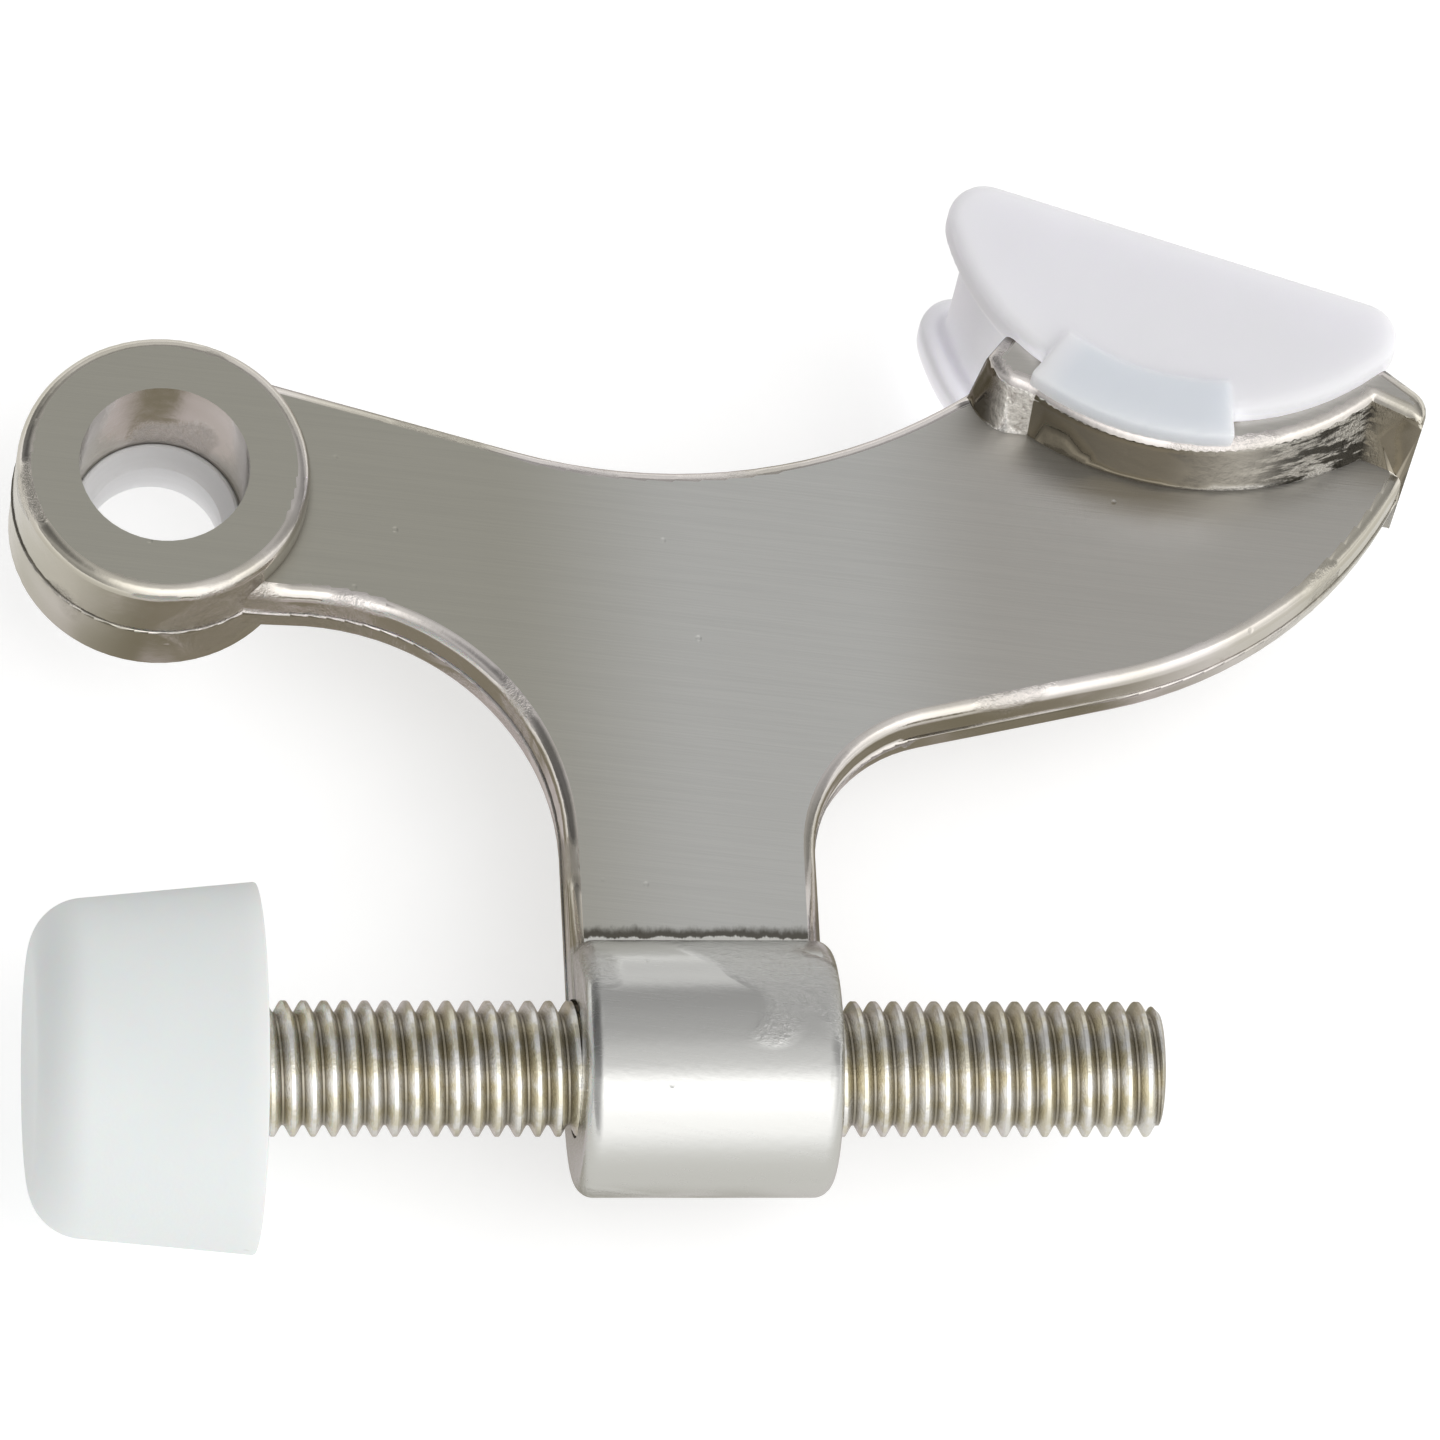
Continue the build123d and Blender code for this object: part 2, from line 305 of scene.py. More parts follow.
def cast_colour(shader, x, on_barrel, lumps):
    """The unground faces: clouded, plain on the barrel, dark on the saddle's walls as painted shade, and torn
    in places, with painted highlight and shade there.
    """
    cloud = shader.noise((0.09, 0.13, 0.13), detail=2.0)
    colour = shader.mix(shader.remap(cloud, 0.35, 0.65), rgb(0.55, 0.52, 0.45), rgb(0.72, 0.68, 0.66))
    colour = shader.mix(on_barrel, colour, rgb(0.63, 0.63, 0.615))
    torn, painted_wall_shade = shader.attribute("torn"), shader.attribute("painted_wall_shade")
    # torn places: rough lumps, lightened as a painted highlight
    torn_lumps_and_highlight = shader.math("MULTIPLY", torn, shader.remap(lumps, 0.35, 0.5))
    colour = shader.mix(torn_lumps_and_highlight, colour, rgb(0.97, 0.95, 0.92))
    # painted light and shade on the saddle's walls: dark, lighter over SADDLE_LIGHTER, dark again from the
    # toe
    saddle = shader.mix(shader.remap(x, *SADDLE_LIGHTER), rgb(0.16, 0.14, 0.105), rgb(0.58, 0.56, 0.52))
    saddle = shader.mix(shader.remap(x, *TOE_START), saddle, rgb(0.24, 0.215, 0.17))
    colour = shader.mix(painted_wall_shade, colour, saddle)
    # dark streaks on the torn walls: painted shade
    shaded_streaks = shader.remap(shader.noise((0.45, 0.9, 1.4), detail=4.0, roughness=0.65, turn=20), 0.44, 0.52)
    shaded_streaks = shader.math("MULTIPLY", shader.math("MULTIPLY", torn, painted_wall_shade), shaded_streaks)
    return shader.mix(shaded_streaks, colour, rgb(0.06, 0.055, 0.045))


def satin_nickel():
    """Brushed on the ground faces, smoother and darker where it is plated as cast, with painted light and
    shade by position and painted shade in its creases.
    """
    shader = Shader("satin_nickel")
    flat = shader.attribute("brushed")
    fine = shader.noise((0.16, 11.0, 2.0), detail=5.0, roughness=0.65, turn=-7)
    coarse = shader.noise((0.05, 2.6, 1.0), detail=3.0, turn=-7)
    streak = shader.math("ADD", shader.math("MULTIPLY", fine, 0.7), shader.math("MULTIPLY", coarse, 0.3))
    skin = shader.noise((1.6, 1.6, 1.6), detail=4.0, roughness=0.6)
    lumps = shader.noise((2.6, 2.6, 1.3), detail=5.0, roughness=0.7)
    place = shader.node("ShaderNodeSeparateXYZ")
    shader.feed(shader.place, place.inputs[0])
    x, y = place.outputs["X"], place.outputs["Y"]
    on_barrel = shader.remap(y, BARREL_TOP - 0.4 * MM, BARREL_TOP, 1.0, 0.0)

    clean = shader.mix(flat, cast_colour(shader, x, on_barrel, lumps), ground_colour(shader, x, y, streak))
    # painted shade: the base colour darkens in creases and corners
    outside_painted_shade = shader.remap(shader.openness(0.7), 0.25, 0.75)
    shader.put("Base Color", shader.mix(outside_painted_shade, rgb(0.16, 0.14, 0.11), clean))
    shader.put("Metallic", 1.0)
    cast_roughness = shader.blend(on_barrel, shader.remap(skin, 0.3, 0.7, 0.10, 0.20),
                                  shader.remap(fine, 0.3, 0.7, 0.20, 0.28))
    shader.put("Roughness", shader.blend(flat, cast_roughness, shader.remap(streak, 0.3, 0.7, 0.28, 0.40)))
    shader.put("Anisotropic", shader.math("MULTIPLY", flat, 0.5))
    along_x = shader.node("ShaderNodeCombineXYZ")
    along_x.inputs["X"].default_value = 1.0
    shader.put("Tangent", along_x.outputs[0])

    # fine grain, then lumps where it is rough as cast or torn, then a few pits
    patchy = shader.remap(shader.noise((0.16, 0.16, 0.16), detail=1.0), 0.55, 0.62)
    rough = shader.math("MULTIPLY", shader.math("SUBTRACT", 1.0, flat), patchy)
    rough = shader.math("MAXIMUM", shader.math("MULTIPLY", rough, 0.35), shader.attribute("torn"))
    grain = shader.bump(shader.blend(flat, skin, streak), 0.010)
    grain = shader.bump(shader.math("MULTIPLY", lumps, rough), 0.35, grain)
    pits = shader.spots((0.34, 0.34, 0.34), 0.02, 0.07)
    shader.put("Normal", shader.bump(shader.math("SUBTRACT", 1.0, pits), 0.03, grain))
    return shader.material


def bright_nickel():
    """Plated steel of the screw, yellowish in places, with painted shade darkening the roots between the
    threads.
    """
    shader = Shader("bright_nickel")
    rings = shader.noise((22.0, 0.5, 0.5), detail=3.0)
    cloud = shader.noise((0.7, 0.7, 0.7), detail=3.0, roughness=0.6)
    nicks = shader.noise((5.0, 5.0, 5.0), detail=4.0, roughness=0.7)
    clean = shader.mix(shader.remap(cloud, 0.42, 0.6), rgb(0.74, 0.70, 0.58), rgb(0.84, 0.83, 0.81))
    # painted shade at the bottom of the thread
    painted_root_shade = shader.math("MULTIPLY", shader.attribute("root"), 0.8)
    shader.put("Base Color", shader.mix(painted_root_shade, clean, rgb(0.22, 0.19, 0.13)))
    shader.put("Metallic", 1.0)
    shader.put("Roughness", shader.remap(cloud, 0.3, 0.7, 0.10, 0.20))
    shader.put("Normal", shader.bump(nicks, 0.03, shader.bump(rings, 0.004)))
    return shader.material


def white_rubber():
    """Matt, slightly blue white, with a fine moulded grain and a little grime at the rim."""
    shader = Shader("white_rubber")
    grain = shader.noise((5.0, 5.0, 5.0), detail=4.0, roughness=0.6)
    cloud = shader.noise((0.12, 0.12, 0.12), detail=2.0)
    patches = shader.remap(shader.noise((0.7, 0.7, 0.7)), 0.66, 0.74)
    grime = shader.math("MULTIPLY", shader.math("MULTIPLY", shader.attribute("rim"), patches), 0.35)
    clean = shader.mix(cloud, rgb(0.76, 0.80, 0.80), rgb(0.82, 0.85, 0.85))
    shader.put("Base Color", shader.mix(grime, clean, rgb(0.45, 0.38, 0.27)))
    shader.put("Roughness", shader.remap(grain, 0.3, 0.7, 0.5, 0.62))
    shader.put("Subsurface Weight", 0.25)
    shader.put("Subsurface Scale", 1.0 * MM)
    shader.put("Normal", shader.bump(grain, 0.01))
    return shader.material


def milky_vinyl():
    """Translucent vinyl, lilac white, bluer and darker where it lies over the metal of the saddle as painted
    shade, and glowing in its shaded parts as painted light.
    """
    shader = Shader("milky_vinyl")
    cloud = shader.noise((0.15, 0.15, 0.15), detail=2.0)
    ripple = shader.noise((0.5, 0.5, 0.5), detail=2.0)
    specks = shader.spots((0.11, 0.11, 0.11), 0.008, 0.016)
    body = shader.mix(cloud, rgb(0.76, 0.76, 0.785), rgb(0.80, 0.795, 0.83))
    # painted shade: the lips tinted bluer and darker, as if the metal showed through the thin vinyl
    over_metal = shader.mix(shader.attribute("over_metal"), body, rgb(0.68, 0.71, 0.755))
    shader.put("Base Color", shader.mix(specks, over_metal, rgb(0.25, 0.23, 0.2)))
    shader.put("Roughness", shader.remap(ripple, 0.3, 0.7, 0.28, 0.38))
    shader.put("Subsurface Weight", 1.0)
    shader.put("Subsurface Radius", (1.0, 0.95, 1.0))
    shader.put("Subsurface Scale", 2.0 * MM)
    shader.put("Normal", shader.bump(ripple, 0.03))
    # painted light: the vinyl glows in its shaded parts, in place of light carried inside it
    shader.put("Emission Color", rgb(0.95, 0.95, 1.0))
    shader.put("Emission Strength", shader.remap(shader.openness(8.0), 0.2, 1.0, 0.60, 0.0))
    return shader.material


def natural_nylon():
    """Translucent plastic of the bushing, with faint moulding rings."""
    shader = Shader("natural_nylon")
    rings = shader.noise((0.4, 0.4, 4.0), detail=2.0)
    shader.put("Base Color", shader.mix(rings, rgb(0.88, 0.88, 0.89), rgb(0.94, 0.94, 0.96)))
    shader.put("Roughness", 0.5)
    shader.put("Specular IOR Level", 0.2)
    shader.put("Subsurface Weight", 0.4)
    shader.put("Subsurface Radius", (1.0, 1.0, 1.0))
    shader.put("Subsurface Scale", 1.0 * MM)
    shader.put("Normal", shader.bump(rings, 0.02))
    return shader.material


# ---------------------------------------------------------------- casting
EYE_RADIUS, BORE_RADIUS, BARREL_RADIUS = 7.3 * MM, 4.24 * MM, 6.3 * MM
GROUND_FACES = (1.9 * MM, 4.0 * MM, 6.2 * MM)       # web, eye and saddle, from the parting plane
HORN_STRIP, STRIP_FADE = (41.2 * MM, 43.4 * MM), 0.9 * MM      # rough strip down the horn, in X
TORN_WALL, TORN_FADE = (53.5 * MM, 60.6 * MM), 3.0 * MM        # rough part of the saddle's outer wall
NEAR = 0.02 * MM                                    # how close a face has to be to count as lying there


def turned_normals(mesh, polygon):
    """Exact normals of a face that lies on the eye, its bore or the barrel; None elsewhere."""
    points = np.array([mesh.vertices[v].co for v in polygon.vertices])
    for across, radii in (((1, 1, 0), (EYE_RADIUS, BORE_RADIUS)), ((0, 1, 1), (BARREL_RADIUS,))):
        centre = np.array([0, 0, 0] if across[2] == 0 else [0, AXIS_Y, MID_Z])
        radial = (points - centre) * across
        length = np.linalg.norm(radial, axis=1)
        for radius in radii:
            if np.all(abs(length - radius) < NEAR / 2):
                radial /= length[:, None]
                side = radial.mean(axis=0) @ np.array(polygon.normal)
                if abs(side) > 0.9:
                    return radial * math.copysign(1, side)
    return None


def weigh_normals(piece):
    """Shades rounds from the faces beside them, so that large faces look flat."""
    weighted = piece.modifiers.new("weighted", "WEIGHTED_NORMAL")
    weighted.mode = "FACE_AREA"
    weighted.weight = 100
    weighted.keep_sharp = True
    apply_modifiers(piece)


def faded(x, start, fade):
    """0 up to start, 1 from fade beyond it."""
    return min(max((x - start) / fade, 0.0), 1.0)


def mark_casting(mesh):
    """Sets exact normals on flat and turned faces, and masks of what is brushed, of the walls that get
    painted shade, and of what is torn.
    """
    corners = len(mesh.loops)
    normals = np.zeros(corners * 3)
    mesh.corner_normals.foreach_get("vector", normals)
    normals = normals.reshape(-1, 3)
    brushed, painted_wall_shade, torn = np.zeros((3, corners), np.float32)
    for polygon in mesh.polygons:
        loops = list(polygon.loop_indices)
        centre, facing = polygon.center, polygon.normal
        height = abs(centre.z - MID_Z)
        if abs(facing.z) > 0.995 and min(abs(height - ground) for ground in GROUND_FACES) < NEAR:
            brushed[loops] = 1.0
            normals[loops] = (0, 0, math.copysign(1, facing.z))
        elif abs(facing.z) < 0.5 and height > GROUND_FACES[0] and centre.x > PAD_LOW.x:
            on_strip = HORN_STRIP[0] < centre.x < HORN_STRIP[1] and facing.y < -0.5
            for loop, vertex in zip(loops, polygon.vertices):
                x = mesh.vertices[vertex].co.x
                if on_strip:
                    torn[loop] = faded(x, HORN_STRIP[0], STRIP_FADE)
                    painted_wall_shade[loop] = 1.0 - torn[loop]
                else:
                    torn[loop] = faded(x, TORN_WALL[0], TORN_FADE) * (x < TORN_WALL[1])
                    painted_wall_shade[loop] = 1.0
        turned = turned_normals(mesh, polygon)
        if turned is not None:
            normals[loops] = turned
    mesh.normals_split_custom_set([tuple(n) for n in normals])
    for name, values in (("brushed", brushed), ("painted_wall_shade", painted_wall_shade), ("torn", torn)):
        write_mask(mesh, name, values, "CORNER")


def build_casting():
    """A copy of the CAD casting with its own shading, so that its shape is the CAD's."""
    mesh = frame["nodes"]["body_casting"].data.copy()
    mesh.materials.clear()
    tidy_mesh(mesh, merge=1e-6, sharp_angle=32)
    piece = bpy.data.objects.new("nickel_casting", mesh)
    bpy.context.scene.collection.objects.link(piece)
    weigh_normals(piece)
    mark_casting(piece.data)
    piece.data.materials.append(satin_nickel())
    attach(piece, "root")
    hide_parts("body_casting")


# ---------------------------------------------------------------- bushing
def build_bushing():
    """Collar under the eye, sleeve inside it, and a lead-in cone at the sleeve's top."""
    back, front = BUSHING_LOW.z, BUSHING_HIGH.z
    bore = PIN_BORE["r_mm"] * MM
    collar = (BUSHING_HIGH.x - BUSHING_LOW.x) / 2
    lead = 4.0 * MM
    rounding, chamfer, mouth = 0.3 * MM, 0.1 * MM, 0.2 * MM
    profile = [(back, bore + mouth), (back, collar - rounding)]
    profile += arc((back + rounding, collar - rounding), rounding, 180, 90, 5)
    profile += [(-chamfer, collar), (0.0, collar - chamfer), (0.0, BORE_RADIUS)]
    profile += [(front - chamfer, BORE_RADIUS), (front, BORE_RADIUS - chamfer), (front, lead)]
    profile += [(front - 0.1 * MM, lead - 0.06 * MM), (front - 0.9 * MM, bore + 0.22 * MM)]
    profile += [(front - 1.05 * MM, bore + 0.02 * MM), (front - 1.2 * MM, bore), (back + mouth, bore)]
    vertices, faces = lathe(profile, along_pin)
    new_piece("pin_bushing", vertices, faces, natural_nylon(), "root", "hinge_pin_bushing")


# ---------------------------------------------------------------- pad
PAD_DROP = 4.03 * MM          # centre of the saddle above the contact face
PAD_RADIUS = 13.35 * MM
PAD_CORNER = 1.9 * MM
PAD_CENTRE = PAD_FACE + PAD_NORMAL * PAD_DROP
LUG_INNER, LUG_OUTER = 11.7 * MM, 14.9 * MM
LUG_FROM, LUG_TO = -40, 2     # degrees round the centre from straight down
LUG_PROUD = 0.35 * MM         # above the flange's face
LUG_GAP = 0.03 * MM           # above the saddle's rim
SADDLE_HALF_WIDTH = 6.2 * MM
FLANGE_HALF_WIDTH = 7.2 * MM
FLANGE_THICKNESS = 2.2 * MM
CORE_INSET = 1.25 * MM


def d_outline(inset, arc_steps=110, corner_steps=14, face_steps=50):
    """Points of the pad's D section, moved inward by inset. The straight side faces the door trim."""
    radius = PAD_RADIUS - inset
    corner = max(PAD_CORNER - inset, 0.25 * MM)
    drop = PAD_DROP + inset
    across = Vector((PAD_NORMAL.y, -PAD_NORMAL.x))
    down = -Vector((PAD_NORMAL.x, PAD_NORMAL.y))
    corner_down = drop + corner
    corner_across = math.sqrt((radius - corner) ** 2 - corner_down ** 2)
    meet = math.atan2(corner_across, corner_down)
    path = []
    for t in np.linspace(-meet, meet, arc_steps):
        path.append((radius * math.sin(t), radius * math.cos(t)))
    for t in np.linspace(meet, math.pi, corner_steps)[1:]:
        path.append((corner_across + corner * math.sin(t), corner_down + corner * math.cos(t)))
    for s in np.linspace(corner_across, -corner_across, face_steps)[1:-1]:
        path.append((s, drop))
    for t in np.linspace(math.pi, 2 * math.pi - meet, corner_steps)[:-1]:
        path.append((-corner_across + corner * math.sin(t), corner_down + corner * math.cos(t)))
    centre = Vector((PAD_CENTRE.x, PAD_CENTRE.y))
    return [centre + across * a + down * d for a, d in path]


def pad_levels():
    """(z, inset) up one half of the spool: core, flange with rounded edges, front face."""
    inner = FLANGE_HALF_WIDTH - FLANGE_THICKNESS
    back_rounding, rounding = 0.3 * MM, 0.55 * MM
    levels = [(0.0, CORE_INSET), (inner - 0.5 * MM, CORE_INSET)]
    levels += [(inner - 0.15 * MM, CORE_INSET - 0.12 * MM), (inner, CORE_INSET - 0.5 * MM)]
    levels += [(inner, back_rounding)]
    levels += [(inner + back_rounding - z, back_rounding - r)
               for z, r in arc((0, 0), back_rounding, 0, 90, 4)[1:]]
    levels += [(FLANGE_HALF_WIDTH - rounding + z, rounding - r)
               for r, z in arc((0, 0), rounding, 0, 90, 6)]
    levels += [(FLANGE_HALF_WIDTH, inset * MM) for inset in (1.2, 2.2, 3.2)]
    return levels


def build_pad():
    """The D-shaped spool with its two lips, remeshed evenly so that its edges are soft."""
    half = pad_levels()
    levels = [(-z, inset) for z, inset in reversed(half[1:])] + half
    rings = [[(p.x, p.y, MID_Z + z) for p in d_outline(inset)] for z, inset in levels]
    count = len(rings[0])
    vertices = [v for ring in rings for v in ring]
    faces = []
    for i in range(len(rings) - 1):
        for k in range(count):
            n = (k + 1) % count
            faces.append((i * count + k, i * count + n, (i + 1) * count + n, (i + 1) * count + k))
    faces.append(tuple(reversed(range(count))))
    faces.append(tuple(range((len(rings) - 1) * count, len(rings) * count)))
    piece = new_piece("trim_pad_vinyl", vertices, faces, milky_vinyl(), "root", "trim_pad")
    for side in (-1, 1):
        join_lug(piece, side)
    soften(piece, voxel=0.16 * MM, passes=12)
    mark_over_metal(piece.data)


def join_lug(piece, side):
    """Adds the lip that hooks over the saddle's edge."""
    top = side * (FLANGE_HALF_WIDTH + LUG_PROUD)
    foot = side * (SADDLE_HALF_WIDTH + LUG_GAP)
    steps = 24
    turns = np.linspace(math.radians(LUG_FROM), math.radians(LUG_TO), steps + 1)
    vertices, faces = [], []
    for z in (foot, top):
        for radius in (LUG_INNER, LUG_OUTER):
            for t in turns:
                x, y = PAD_CENTRE.x + radius * math.sin(t), PAD_CENTRE.y - radius * math.cos(t)
                vertices.append((x, y, MID_Z + z))
    row = steps + 1
    inner_foot, outer_foot, inner_top, outer_top = (i * row for i in range(4))
    corners = (inner_foot, outer_foot, outer_top, inner_top)
    for a, b in zip(corners, corners[1:] + corners[:1]):
        for k in range(steps):
            faces.append((a + k, a + k + 1, b + k + 1, b + k))
    for k in (0, steps):
        faces.append((inner_foot + k, outer_foot + k, outer_top + k, inner_top + k))
    mesh = bpy.data.meshes.new("lug")
    mesh.from_pydata(vertices, [], faces)
    tidy_mesh(mesh)
    lug = bpy.data.objects.new("lug", mesh)
    bpy.context.scene.collection.objects.link(lug)
    union = piece.modifiers.new("union", "BOOLEAN")
    union.operation = "UNION"
    union.solver = "EXACT"
    union.object = lug
    apply_modifiers(piece)
    bpy.data.objects.remove(lug)


def soften(piece, voxel, passes):
    """Remeshes a moulded piece evenly and eases its edges."""
    remesh = piece.modifiers.new("remesh", "REMESH")
    remesh.mode = "VOXEL"
    remesh.voxel_size = voxel
    smooth = piece.modifiers.new("smooth", "SMOOTH")
    smooth.factor = 0.5
    smooth.iterations = passes
    apply_modifiers(piece)
    piece.data.shade_smooth()


def mark_over_metal(mesh):
    """1 over the lips, fading out above them."""
    co = coordinates(mesh)
    across, down = co[:, 0] - PAD_CENTRE.x, PAD_CENTRE.y - co[:, 1]
    radius = np.hypot(across, down)
    turn = np.degrees(np.arctan2(across, down))
    near = np.clip((radius - LUG_INNER + 0.3 * MM) / (0.6 * MM), 0, 1)
    inside = np.clip(np.minimum((turn - LUG_FROM) / 7.0, (LUG_TO - turn) / 1.5 + 0.5), 0, 1)
    high = np.clip((np.abs(co[:, 2] - MID_Z) - SADDLE_HALF_WIDTH) / (0.5 * MM), 0, 1)
    write_mask(mesh, "over_metal", near * inside * high)


# ---------------------------------------------------------------- screw
THREAD_PITCH = 1.0 * MM
CREST_RADIUS = 3.325 * MM
ROOT_RADIUS = CREST_RADIUS - 0.56 * MM
THREAD_START = 0.25 * MM      # where the thread's middle passes straight above the axis
END_CHAMFER = 0.55 * MM
HEAD_THICKNESS = 3.0 * MM
HEAD_DOME = 1.2 * MM
PLAIN_NECK = 0.6 * MM         # unthreaded under the head
THREAD_LEVELS = (-0.5, -0.45, -0.40, -0.32, -0.22, -0.14, -0.09, -0.03,
                 0.03, 0.09, 0.14, 0.22, 0.32, 0.40, 0.45)       # pitches from the crest


def thread_radius(offset):
    """Radius of the thread at an offset from the crest, in pitches from -0.5 to 0.5."""
    crest, foot = 0.10, 0.45
    fall = min(max((abs(offset) - crest) / (foot - crest), 0.0), 1.0)
    eased = 0.7 * fall + 0.3 * fall * fall * (3 - 2 * fall)
    return CREST_RADIUS - (CREST_RADIUS - ROOT_RADIUS) * eased


def within_screw(x, radius, start, end):
    """Fades the thread out at the head, chamfers it at the free end and keeps it between the two."""
    radius = min(radius, ROOT_RADIUS + max(0.0, x - start - PLAIN_NECK))
    x = min(max(x, start), end)
    end_radius = CREST_RADIUS - END_CHAMFER
    if x >= end:
        radius = end_radius - 0.02 * MM
    elif end - x < END_CHAMFER:
        radius = min(radius, end_radius + (end - x))
    return x, radius


def build_screw():
    """A grid wound along the helix, cut off flat at both ends, with the head added."""
    segments = 96
    start = SCREW_LOW.x + HEAD_THICKNESS
    end = SCREW_HIGH.x
    per_pitch = len(THREAD_LEVELS)
    pitches = int((end - start) / THREAD_PITCH) + 4
    first = THREAD_START - math.ceil((THREAD_START - start) / THREAD_PITCH + 1) * THREAD_PITCH
    vertices, faces = [], []
    for pitch in range(pitches):
        for offset in THREAD_LEVELS:
            for k in range(segments):
                turn = k / segments
                x = first + (pitch + offset + turn) * THREAD_PITCH
                x, radius = within_screw(x, thread_radius(offset), start, end)
                angle = 2 * math.pi * turn + math.pi / 2
                vertices.append(along_screw(x, radius * math.cos(angle), radius * math.sin(angle)))
    rows = pitches * per_pitch
    for row in range(rows - 1):
        for k in range(segments - 1):
            a = row * segments + k
            faces.append((a, a + 1, a + 1 + segments, a + segments))
        last, wrapped = row * segments + segments - 1, (row + per_pitch) * segments
        if row + per_pitch + 1 < rows:
            faces.append((last, wrapped, wrapped + segments, last + segments))
    piece = new_piece("plated_screw", vertices, faces, bright_nickel(),
                      "screw", "adjusting_screw")
    close_screw(piece.data, start, end)
    mark_roots(piece.data, start)


def mark_roots(mesh, start):
    """1 at the bottom of the thread, 0 from half way up the flanks."""
    co = coordinates(mesh)
    radius = np.hypot(co[:, 1] - AXIS_Y, co[:, 2] - MID_Z)
    depth = np.clip((CREST_RADIUS - radius) / (CREST_RADIUS - ROOT_RADIUS) * 2 - 1, 0, 1)
    depth[co[:, 0] < start] = 0
    write_mask(mesh, "root", depth)


def close_screw(mesh, start, end):
    """Caps the free end and adds the head over the shank's other end."""
    bm = bmesh.new()
    bm.from_mesh(mesh)
    for edge_x in (start, end):
        rim = [e for e in bm.edges if e.is_boundary and all(abs(v.co.x - edge_x) < 1e-6 for v in e.verts)]
        bmesh.ops.holes_fill(bm, edges=rim, sides=0)
    loose = [v for v in bm.verts if not v.link_faces]
    bmesh.ops.delete(bm, geom=loose, context="VERTS")
    bm.to_mesh(mesh)
    bm.free()
    head_radius = (SCREW_HIGH.z - SCREW_LOW.z) / 2
    face = SCREW_LOW.x
    shoulder = head_radius - HEAD_DOME
    chamfer = 0.15 * MM
    profile = [(face, 0.0), (face, shoulder)]
    profile += [(face + HEAD_DOME - x, shoulder + r) for x, r in arc((0, 0), HEAD_DOME, 0, 90, 8)[1:]]
    profile += [(start - chamfer, head_radius), (start, head_radius - chamfer), (start, 0.0)]
    vertices, faces = lathe(profile, along_screw, 96)
    head = bpy.data.meshes.new("head")
    head.from_pydata(vertices, [], faces)
    bm = bmesh.new()
    bm.from_mesh(mesh)
    bm.from_mesh(head)
    bm.to_mesh(mesh)
    bm.free()
    bpy.data.meshes.remove(head)
    tidy_mesh(mesh, sharp_angle=30)


# ---------------------------------------------------------------- tip
def build_tip():
    """A slightly conical cup with a dished face, a recessed back and a cavity for the screw's head."""
    front, rim = TIP_LOW.x, TIP_HIGH.x
    rim_radius = (TIP_HIGH.z - TIP_LOW.z) / 2
    front_radius = rim_radius - 0.8 * MM
    corner = 2.7 * MM
    groove = 0.5 * MM
    lean = math.degrees(math.atan2(rim_radius - front_radius, rim - front))
    hole = 3.405 * MM
    cavity = 5.28 * MM
    cavity_from, cavity_to = SCREW_LOW.x - 0.08 * MM, SCREW_LOW.x + HEAD_THICKNESS + 0.08 * MM
    dish = 0.12 * MM
    profile = [(front + dish, 0.0), (front + 0.8 * dish, 2.0 * MM), (front + 0.25 * dish, 4.2 * MM)]
    profile += arc((front + corner, front_radius - corner), corner, 180, 90 + lean, 18)
    side = profile[-1]
    for share in np.linspace(0, 1, 9)[1:-1]:
        profile.append((side[0] + share * (rim - side[0]), side[1] + share * (rim_radius - side[1])))
    profile += [(rim - 0.12 * MM, rim_radius - 0.01 * MM), (rim - 0.03 * MM, rim_radius - 0.04 * MM)]
    profile += [(rim, rim_radius - 0.14 * MM), (rim, rim_radius - 1.4 * MM)]
    profile += [(rim - groove, rim_radius - 1.9 * MM), (rim - groove, hole + 0.9 * MM)]
    profile += [(rim - 0.3 * MM, hole + 0.5 * MM), (rim - 0.3 * MM, hole + 0.1 * MM), (rim - 0.4 * MM, hole)]
    profile += [(cavity_to, hole), (cavity_to, cavity), (cavity_from, cavity), (cavity_from, 0.0)]
    vertices, faces = lathe_open(profile, along_screw)
    piece = new_piece("rubber_tip_moulded", vertices, faces, white_rubber(),
                      "tip", "rubber_tip")
    mark_rim(piece.data, rim)


def lathe_open(profile, place, segments=160):
    """As lathe, for a profile that starts and ends on the axis: the two ends aren't joined."""
    vertices, faces = lathe(profile, place, segments)
    count = len(profile)
    return vertices, [f for n, f in enumerate(faces) if n % count != count - 1]


def mark_rim(mesh, rim):
    """1 at the tip's open rim, fading over two millimetres."""
    write_mask(mesh, "rim", np.clip((coordinates(mesh)[:, 0] - rim) / (2.0 * MM) + 1.0, 0, 1))


# ---------------------------------------------------------------- stage, lights and camera
TOWARD_CAMERA = Vector((-0.1178, -0.438, 0.8912)).normalized()
AIM = Vector((27.7, -11.1, -1.8)) * MM              # the picture's middle, from the parting plane
CAMERA_DISTANCE = 0.695
LENS = 350.0
LEVEL_RIGHT = (0.993, -0.0483, 0.1075)              # the picture's right, nearly along the screw

FLOOR_GLOW = 0.55
FLOOR_MIDDLE = (0.024, -0.006, 0.0)
FLOOR_NEAR = (26 * MM, 38 * MM)                     # the metal sees patches inside, a plain floor outside
FLOOR_FAR = (40 * MM, 120 * MM)                     # the plain floor grows white over this
